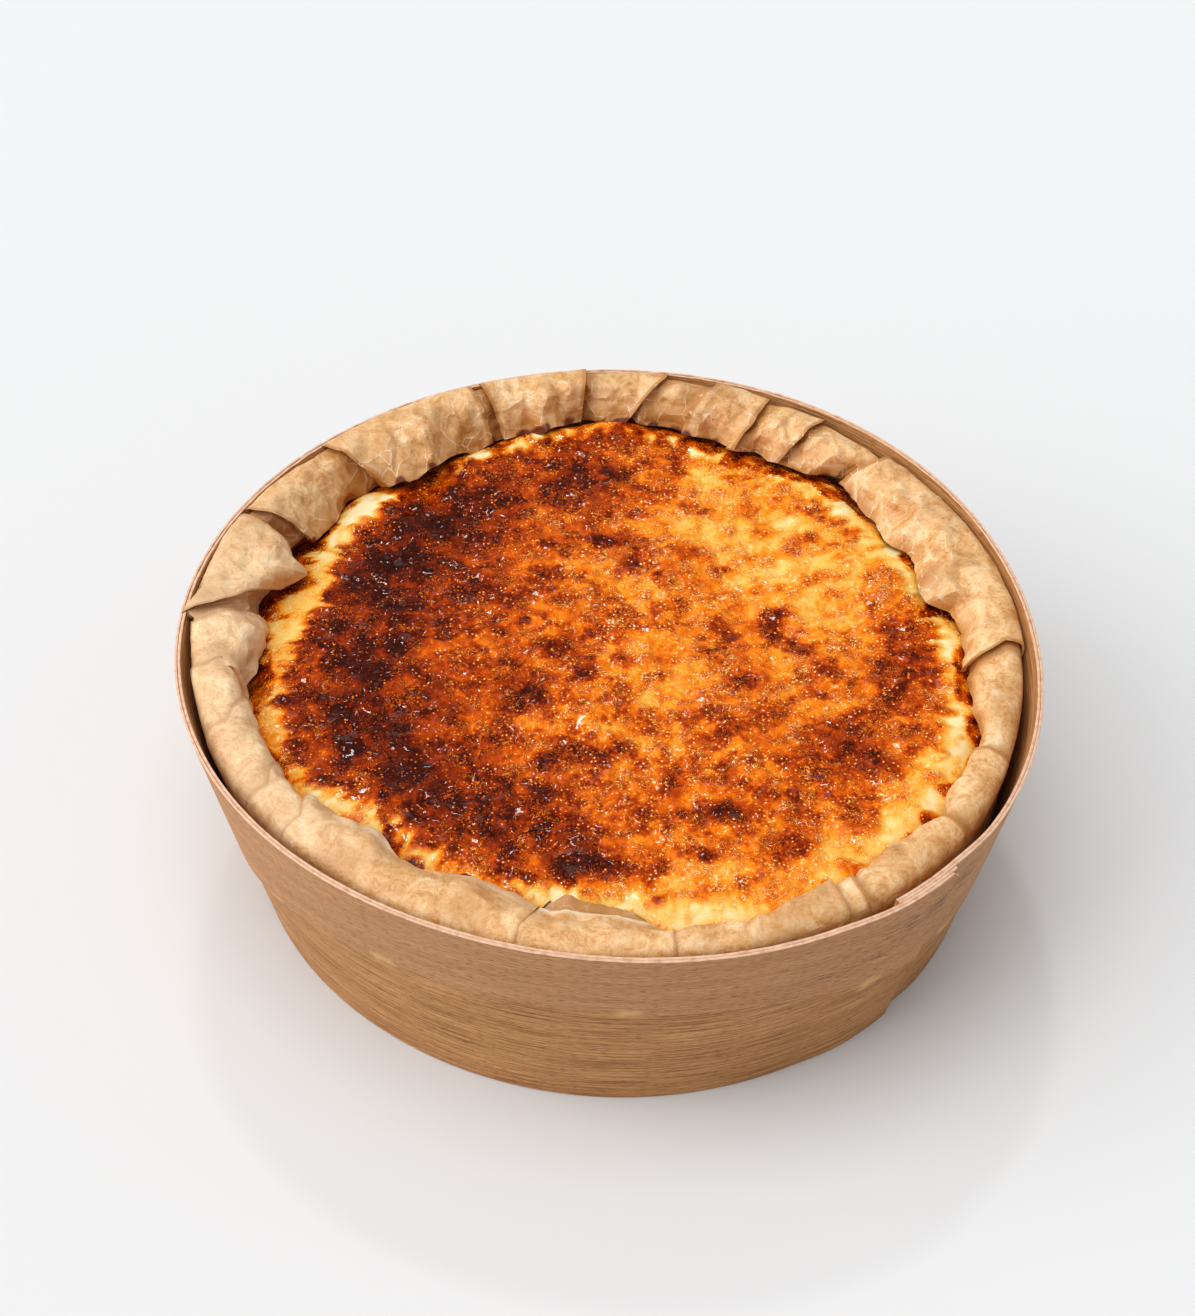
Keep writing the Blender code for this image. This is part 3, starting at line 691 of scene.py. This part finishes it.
def paperProfile(angle, footAngle, hemRadius):
    # radius, height, share of the pleat's step and share of the way from the crest to the free edge
    roll = roundRing(paper["rollRadius"], angle)
    crest = roundRing(paper["crestHeight"], angle)
    belly = roundRing(paper["belly"], angle)
    cornerStart, cornerTip, cornerEnd, cornerOut, cornerUp = paper["corner"]
    poke = max(0.0, min((angle - cornerStart) / (cornerTip - cornerStart),
                        (cornerEnd - angle) / (cornerEnd - cornerTip)))
    out = paperWall(angle, crest - roll)
    floor = paper["floor"]
    rows = [(reach, floor, 0.0, 0.0) for reach in (0.0, 35.0, paperWall(angle, floor) - 3.0)]
    for height in paper["sideRows"]:
        height = min(height, crest - roll - 1.0)
        rows.append((paperWall(angle, height), height, 0.0, 0.0))
    for step in range(9):
        swing = radians(90.0 * step / 8)
        share = smoothStep(step / 4)
        lift = poke * (step / 8) ** 4
        rows.append((out - roll * (1.0 - cos(swing)) + cornerOut * lift,
                     crest - roll * (1.0 - sin(swing)) + cornerUp * lift, share, 0.0))
    stand = paper["hemLift"] + humps(paper["liftedEdges"], footAngle)
    start = Vector((out - roll, crest))
    end = Vector((hemRadius, cakeTop(footAngle, hemRadius) + stand))
    run, drop = start.x - end.x, start.y - end.y
    first = start - Vector(((0.3 + 0.4 * belly) * run, 0.05 * drop))
    second = end + Vector(((0.34 - 0.3 * belly) * run, (0.34 + 0.5 * belly) * drop))
    for step in range(1, paper["flapRows"] + 1):
        t = step / paper["flapRows"]
        s = 1.0 - t
        spot = start * s**3 + first * 3 * s * s * t + second * 3 * s * t * t + end * t**3
        lift = poke * max(0.0, 1.0 - 3.0 * t)
        rows.append((spot.x + cornerOut * lift, spot.y + cornerUp * lift, 1.0, t))
    return rows


def paperColumns():
    # crest angle, angle at the free edge, bow of the pleat, level of the layer, the free edge's radius, the
    # spot's angle on the unfolded paper, how near it is to a panel that covers it and to its own top edge
    columns = []
    for k, (seam, foot, side, bow, edge) in enumerate(panels):
        after = panels[(k + 1) % len(panels)]
        onward = 360.0 if k + 1 == len(panels) else 0.0
        nextSeam, nextFoot = after[0] + onward, after[1] + onward
        fold = min(paper["foldBack"], 0.8 * (nextSeam - seam))
        first, firstFoot = (seam, foot) if side > 0 else (seam - fold, foot - fold)
        last, lastFoot = (nextSeam + fold, nextFoot + fold) if after[2] > 0 else (nextSeam, nextFoot)
        startLevel, endLevel = 0.5 + 0.5 * side, 0.5 - 0.5 * after[2]
        count = max(8, round((last - first) / paper["columnStep"]))
        for step in range(count + 1):
            t = step / count
            crestAngle, footAngle = mixed(first, last, t), mixed(firstFoot, lastFoot, t)
            under = max((1.0 - startLevel) * tent(crestAngle - seam, paper["coveredWidth"]),
                        (1.0 - endLevel) * tent(crestAngle - nextSeam, paper["coveredWidth"]))
            over = max(startLevel * tent(crestAngle - seam, paper["edgeShadowLine"]),
                       endLevel * tent(crestAngle - nextSeam, paper["edgeShadowLine"]))
            columns.append((crestAngle, footAngle, mixed(bow, after[3], t), mixed(startLevel, endLevel, t),
                            edgeRadius(edge, footAngle), mixed(seam + 0.5, nextSeam - 0.5, t), under, over))
        # the hidden layer runs back under the pleat to the next panel's start
        back = 0.0 if after[2] > 0 else fold
        nextFirst, nextFirstFoot = nextSeam - back, nextFoot - back
        hidden = max(edge[-1][1], after[4][0][1]) + 0.6
        for step in (0.2, 0.5, 0.8):
            level = mixed(endLevel, 0.5 + 0.5 * after[2], 0.15 + 0.7 * step)
            columns.append((mixed(last, nextFirst, step), mixed(lastFoot, nextFirstFoot, step), after[3],
                            level, hidden, nextSeam - 0.5 + step, 0.0, 0.0))
    first = columns[0]
    columns.append((first[0] + 360.0, first[1] + 360.0, *first[2:5], first[5] + 360.0, *first[6:]))
    return columns


def crumple(spot, crestAngle, footAngle, t):
    # soft dents everywhere, flat facets and sharp folds on the part that was pressed down by hand
    strength = roundRing(paper["crumple"], crestAngle)
    dents = 0.35 * rough(spot, 8.0, 2.0) + 0.12 * rough(spot, 3.0, 5.0)
    planes = 2.0 * facets(spot, 8.5, 9.0) + 1.0 * facets(spot, 3.8, 12.0)
    ridges = sum(height * tent(turnFrom(crestAngle + (foot - crest) * (1.0 - t), foot), width)
                 for crest, foot, height, width in folds
                 if abs(turnFrom(crestAngle, crest)) < width + abs(foot - crest))
    return dents * (0.4 + 0.6 * strength) + planes * strength + 1.3 * ridges * min(1.0, 0.3 + 2.0 * t)


def burntAt(angle, t):
    # burnt cream stuck to the free edge, mostly at the back and the left
    return min(1.0, humps(paper["burntEdges"], angle)) * smoothStep((t - 0.7) / 0.3)


def makePaper():
    columns = paperColumns()
    profiles = [paperProfile(column[0], column[1], column[4]) for column in columns]
    lastColumn, lastRow = len(columns) - 1, len(profiles[0]) - 1
    sheet = freshGrid("foldedBakingPaper", lastColumn, lastRow)
    foldStart, foldEnd, foldRadius, foldLift = paper["doubledEdge"]
    paleEdgeAngle, paleEdgeWidth, paleEdgeShare = paper["paleEdge"]
    oilAndShade, burn, crumpled, highlightAndPale = [], [], [], []
    for point in sheet.data.vertices:
        column, row = round((point.co.x + 0.5) * lastColumn), round((point.co.y + 0.5) * lastRow)
        crest, foot, bow, level, hem, plain, under, over = columns[column]
        radius, height, share, t = profiles[column][row]
        before, after = profiles[column][max(row - 1, 0)], profiles[column][min(row + 1, lastRow)]
        slope = Vector((after[0] - before[0], after[1] - before[1])).normalized()
        outward = Vector((slope.y, -slope.x))  # towards the side that shows
        opened = 1.0 if row > lastRow - paper["flapRows"] else smoothStep((height - 28.0) / 10.0)
        turned = mixed(plain, mixed(crest, foot, t) - bow * 4.0 * t * (1.0 - t), opened)
        spot = ringPoint(turned, radius, height)
        rise = share * (paper["pleatHeight"] * level - paper["tuck"] * under * t
                        + crumple(spot, crest, foot, t) * min(1.0, 0.2 + t * 3))
        doubled = foldStart < foot < foldEnd
        if doubled:
            rise += 0.6 * tent(radius - foldRadius, 1.2)
            rise += foldLift * smoothStep((foldRadius - radius) / 3.6)
        top = min(height + outward.y * rise, paper["highest"])
        point.co = ringPoint(turned, radius + outward.x * rise, top) * mm
        edgeOil = 0.8 * smoothStep((t - 0.45) / 0.55) * (0.55 + rough(spot, 5.0, 3.0))
        # behind the doubled edge's fold the paper is painted darker: partly oil on its inner side, partly
        # painted shade where it slopes down to the cake
        slitShade = smoothStep((foldRadius - 0.5 - radius) / 0.4) if doubled else 0.0
        # oily patches, parts painted darker, and painted shade: a dark line of shadow along every pleat,
        # with the covered panel darker beside it
        oilAndDarkerParts = 0.7 * max(0.0, rough(spot, 9.0, 41.0)) * share + humps(paper["darkerParts"], turned)
        pleatShade = 0.3 * under * t + 0.7 * smoothStep((under - 0.55) / 0.3) * share
        pleatShade += 0.9 * smoothStep((over - 0.5) / 0.15) * share
        burnt = burntAt(turned, t) * (0.8 + 1.5 * rough(spot, 3.0, 43.0))
        oilAndShade.append(min(0.95, max(0.0, edgeOil + oilAndDarkerParts + pleatShade + 0.6 * slitShade + 0.8 * burnt)))
        # painted highlight along the edge of each pleat's top panel, and painted light on the left side
        pale = 1.2 * over * max(0.0, 0.6 - over) * min(1.0, 0.4 + t) + humps(paper["paintedLightParts"], turned)
        pale += paleEdgeShare * hump(foot, paleEdgeAngle, paleEdgeWidth, 6) * smoothStep((t - 0.55) / 0.3)
        # the doubled edge's fold is painted pale along its crest: partly its pale turned-back edge, partly
        # painted highlight
        highlightAndPale.append(pale + (0.8 * tent(radius - foldRadius, 0.7) if doubled else 0.0))
        burn.append(burnt)
        crumpled.append(roundRing(paper["crumple"], crest) * min(1.0, 0.3 + 2.0 * t))
    storeValue(sheet, "oilAndShade", oilAndShade)
    storeValue(sheet, "burn", burn)
    storeValue(sheet, "crumple", crumpled)
    storeValue(sheet, "highlightAndPale", highlightAndPale)
    weld(sheet)
    applyModifier(sheet, "thickness", "SOLIDIFY", thickness=paper["thickness"] * mm, offset=-1.0)
    sheet.data.materials.append(paperMaterial)
    shadeSmooth(sheet, 24)
    return sheet


foldedPaper = makePaper()
print("baking paper folded,", len(foldedPaper.data.polygons), "faces")

# browner and paler spots: angle, radius, half length round, half length out, how much browner
browning = (
    (200, 46, 46, 13, 0.16), (122, 52, 36, 10, 0.18), (250, 46, 22, 9, 0.16), (165, 47, 22, 12, 0.08),
    (183, 47, 7, 5, 0.12), (199.6, 51, 6, 5, 0.12), (207, 45, 5, 4, 0.10), (222, 48, 8, 5, 0.10),
    (265.6, 52, 5, 3.2, 0.42), (204, 22, 7, 5, 0.08), (93, 54, 8, 8, 0.28), (93, 42, 7, 6, 0.16),
    (134, 52, 8, 6, 0.10), (153, 51, 8, 6, 0.12), (132, 36, 9, 7, 0.12), (88, 70, 13, 3.4, 0.50),
    (112, 69, 12, 3.0, 0.45), (63, 32.6, 4.2, 3.2, 0.30), (17.6, 32, 4, 3.6, 0.22), (354, 9, 5, 3.4, 0.22),
    (60.5, 9.6, 4, 3.2, 0.20), (346, 25.5, 4.5, 4, 0.22), (326, 31, 5, 4, 0.20), (331.5, 47, 6, 4.5, 0.24),
    (2, 55, 13, 8, 0.22), (340, 50, 9, 6, 0.14), (296, 44, 5, 4, 0.20), (265, 27, 5, 4, 0.14),
    (160, 6, 6, 4, 0.14), (55.5, 48, 5, 2.4, 0.20), (39.8, 60, 5, 3, 0.26), (71, 44, 3.6, 3, 0.18),
    (88, 33, 5, 3.4, 0.20), (30, 20, 4, 3, 0.18), (8, 21, 3.6, 3, 0.18), (279, 63, 5, 2.0, 0.34),
    (52, 42, 24, 14, -0.2), (62, 55, 16, 8, -0.14), (345, 6, 12, 10, -0.06), (20, 45, 10, 8, -0.08),
    (318, 62, 26, 5, -0.22), (284, 60, 14, 5, -0.16), (40, 12, 14, 10, -0.06), (300, 22, 14, 9, -0.05),
    (316, 50, 14, 7, 0.12), (310, 58, 20, 5, 0.10),
)


def browningAt(x, y, hem):
    spot = Vector((x, y, 0.0))
    warped = spot + 3.0 * noise.noise_vector(spot / 10.0) + 1.4 * noise.noise_vector(spot / 3.6)
    angle, radius = degrees(atan2(warped.y, warped.x)) % 360.0, hypot(warped.x, warped.y)
    value = cake["meanBrowning"] + cake["leftBrowning"] * smoothStep((8.0 - x) / 44.0)
    for a, r, along, out, amount in browning:
        turn = radians(turnFrom(angle, a)) * r / along
        lift = (radius - r) / out
        if abs(turn) < 2.6 and abs(lift) < 2.6:
            value += amount * exp(-turn * turn - lift * lift)
    gaps, middles = noise.voronoi(warped / cake["spotSpacing"])
    value += 0.24 * max(0.0, 1.0 - (gaps[0] / 0.42) ** 2) * (0.35 + noise.cell(middles[0] * 7.3))
    value += 0.14 * rough(spot, 7.0, 3.0) + 0.13 * rough(spot, 3.4, 6.0) + 0.06 * rough(spot, 1.7, 8.0)
    # the pale quarter has drawn up in long soft wrinkles
    drawn = exp(-((x - 36.0) / 24.0) ** 2 - ((y - 36.0) / 26.0) ** 2)
    value += 0.17 * drawn * rough(Vector((0.8 * x + 0.6 * y, 2.6 * y - 2.0 * x, 0.0)), 6.5, 31.0)
    # ragged end of the skin, then the pale shoulder, then the brown line along the paper
    plain = hypot(x, y)
    plainAngle = degrees(atan2(y, x)) % 360.0
    # its edge runs out in tongues
    tongues = rough(Vector((plainAngle * 0.36, plain / 7.0, 0.0)), 1.0, 27.0)
    shreds = rough(Vector((plainAngle * 0.95, plain / 5.0, 0.0)), 1.0, 33.0)
    shreds *= 1.2 + 1.2 * hump(plainAngle, 190.0, 55.0, 4)
    ragged = roundRing(cake["skinEdge"], plainAngle) + 2.9 * tongues + shreds
    ragged += 1.6 * rough(spot, 4.5, 11.0) + 0.8 * rough(spot, 1.9, 13.0)
    skin = smoothStep((ragged - plain) / 4.6 + 0.4)
    amber = hump(plainAngle, 186.0, 34.0, 4)
    pale = 0.06 + 0.13 * amber + 0.16 * rough(spot, 6.0, 15.0)
    pale += 0.3 * max(0.0, rough(spot, 2.2, 16.0) - 0.12)
    # the shoulder is painted more golden next to the paper: painted warm light, bounced from the paper into
    # the shade there
    pale += 0.18 * smoothStep((plain - hem + 4.0) / 3.0)
    value = mixed(max(pale, 0.0), value, skin)
    reach = 1.7 + 5.0 * rough(spot, 4.5, 17.0) + 1.2 * amber + humps(cake["stuckSkin"], plainAngle)
    reach += 3.2 * humps(cake["pockets"], plainAngle)
    stuck = smoothStep((plain - hem + max(reach, 0.9)) / 2.0)
    return mixed(value, 0.62 + 0.4 * rough(spot, 2.5, 19.0), stuck), skin * (1.0 - stuck)


def squareToDisc(x, y):
    # angle and share of the radius for a point of the square from -1 to 1
    if x == 0.0 and y == 0.0:
        return 0.0, 0.0
    if abs(x) > abs(y):
        return (45.0 * y / x) % 360.0 if x > 0 else 180.0 + 45.0 * y / x, abs(x)
    return (90.0 - 45.0 * x / y) if y > 0 else 270.0 - 45.0 * x / y, abs(y)


def hemRing():
    # radius of the paper's free edge at every whole degree
    ring = [99.0] * 360
    for column in paperColumns():
        near = round(column[1]) % 360
        ring[near] = min(ring[near], column[4])
    return [h if h < 99.0 else 67.0 for h in ring]


def makeCake():
    body = freshGrid("cheesecakeBody", cake["grid"], cake["grid"])
    hems = hemRing()
    shades = []
    for point in body.data.vertices:
        angle, share = squareToDisc(round(point.co.x * 2, 6), round(point.co.y * 2, 6))
        fall = roundRing(cake["shoulderFall"], angle)
        side = cakeSide(angle, cake["skinHeight"] - fall)
        radius = share * side
        flat = ringPoint(angle, radius, 0.0)
        brown, skin = browningAt(flat.x, flat.y, hems[round(angle) % 360])
        shades.append(brown)
        wrinkle = max(0.0, 1.0 - 5.0 * abs(rough(flat, 3.6, 25.0)))
        puff = 0.3 * (brown - 0.4) + 0.4 * rough(flat, 3.2, 21.0) + 0.18 * rough(flat, 1.5, 23.0)
        puff += 0.22 * wrinkle
        height = cakeTop(angle, radius) + puff * mixed(0.12, 1.15, skin)
        height += sum(
            rise * hump(angle, a, degrees(along / r)) * exp(-((radius - r) / out) ** 2)
            for a, r, along, out, rise in cake["lumps"])
        pocket = humps(cake["pockets"], angle) * smoothStep((radius - hems[round(angle) % 360] + 3.4) / 2.4)
        height -= cake["pocketDepth"] * pocket
        point.co = ringPoint(angle, radius, height) * mm
    # the sides are drawn down inside the paper, and the foot is filled
    pickOnly(body)
    for height, tuck in cake["sideRows"]:
        bpy.ops.object.mode_set(mode="EDIT")
        bpy.ops.mesh.select_all(action="DESELECT")
        bpy.ops.mesh.select_non_manifold()
        bpy.ops.mesh.extrude_edges_move()
        bpy.ops.object.mode_set(mode="OBJECT")
        for point in body.data.vertices:
            if point.select:
                angle = degrees(atan2(point.co.y, point.co.x))
                point.co = ringPoint(angle, cakeSide(angle, height) - tuck, height) * mm
    bpy.ops.object.mode_set(mode="EDIT")
    bpy.ops.mesh.select_all(action="DESELECT")
    bpy.ops.mesh.select_non_manifold()
    bpy.ops.mesh.edge_face_add()
    bpy.ops.mesh.select_all(action="SELECT")
    bpy.ops.mesh.normals_make_consistent(inside=False)
    bpy.ops.object.mode_set(mode="OBJECT")
    shades += [0.6] * (len(body.data.vertices) - len(shades))
    storeValue(body, "browning", shades)
    body.data.materials.append(creamMaterial)
    shadeSmooth(body, 70)
    return body


noise.seed_set(cake["warpSeed"])
cheesecakeBody = makeCake()
print("cake made")

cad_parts["tub_base"].data.materials.clear()
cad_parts["tub_base"].data.materials.append(sawnVeneerEdge)
for piece, node, slotName in (
        (wallStrip, "tub_wall", "poplar_veneer"), (bandStrip, "tub_band", "poplar_band"),
        (foldedPaper, "liner", "baking_paper"), (cheesecakeBody, "cheesecake", "burnt_cream")):
    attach(piece, "root")
    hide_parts(node)

studioLook = {
    "tableColour": "#DFE0E1",
    "wallGlow": 0.5,
    # where each light comes from, as angles round and up, how wide it spreads and its strength
    "lights": {
        "overheadLight": (215, 80, 44, 1.14),
        "windowLight": (196, 30, 60, 1.8),  # wide and soft, from the left
        "sparkleLight": (98, 53, 5, 0.32),  # small lamp behind, for the gloss
    },
}

bpy.ops.object.select_all(action="DESELECT")
bpy.ops.mesh.primitive_plane_add(size=6.0, location=(0.0, 0.0, -0.0002))
floor = bpy.context.object
floor.name = "paleFloor"
floorPaint, floorShader = newMaterial("paleMattPaint", Roughness=0.9)
floorShader["Base Color"].default_value = paint(studioLook["tableColour"])
floor.data.materials.append(floorPaint)


def addSun(name, azimuth, elevation, spread, strength):
    bpy.ops.object.light_add(type="SUN", location=ringPoint(azimuth, 1.0, 1.0))
    light = bpy.context.object
    light.name = name
    light.data.energy = strength
    light.data.angle = radians(spread)
    across = cos(radians(elevation))
    source = ringPoint(azimuth, across, sin(radians(elevation)))
    light.rotation_euler = source.to_track_quat("Z", "Y").to_euler()


for name, setting in studioLook["lights"].items():
    addSun(name, *setting)
studio = bpy.data.worlds.new("paleStudio")
bpy.context.scene.world = studio
studio.use_nodes = True
studio.node_tree.nodes["Background"].inputs["Color"].default_value = paint("#FFFFFF")
studio.node_tree.nodes["Background"].inputs["Strength"].default_value = studioLook["wallGlow"]
bpy.context.scene.view_settings.view_transform = "Standard"

view = {
    "place": (0.0, -0.406786, 0.424547),
    "aim": (-0.002947, 0.009308, 0.033690),
    "roll": 1.744,
    "focalLength": 82.07,
}
bpy.ops.object.camera_add(location=view["place"])
camera = bpy.context.object
aimed = (Vector(view["aim"]) - Vector(view["place"])).to_track_quat("-Z", "Y")
camera.rotation_euler = (aimed @ Quaternion((0, 0, 1), radians(view["roll"]))).to_euler()
camera.data.sensor_width = 36.0
camera.data.lens = view["focalLength"]
camera.data.clip_start = 0.01
bpy.context.scene.camera = camera
print("stage set")
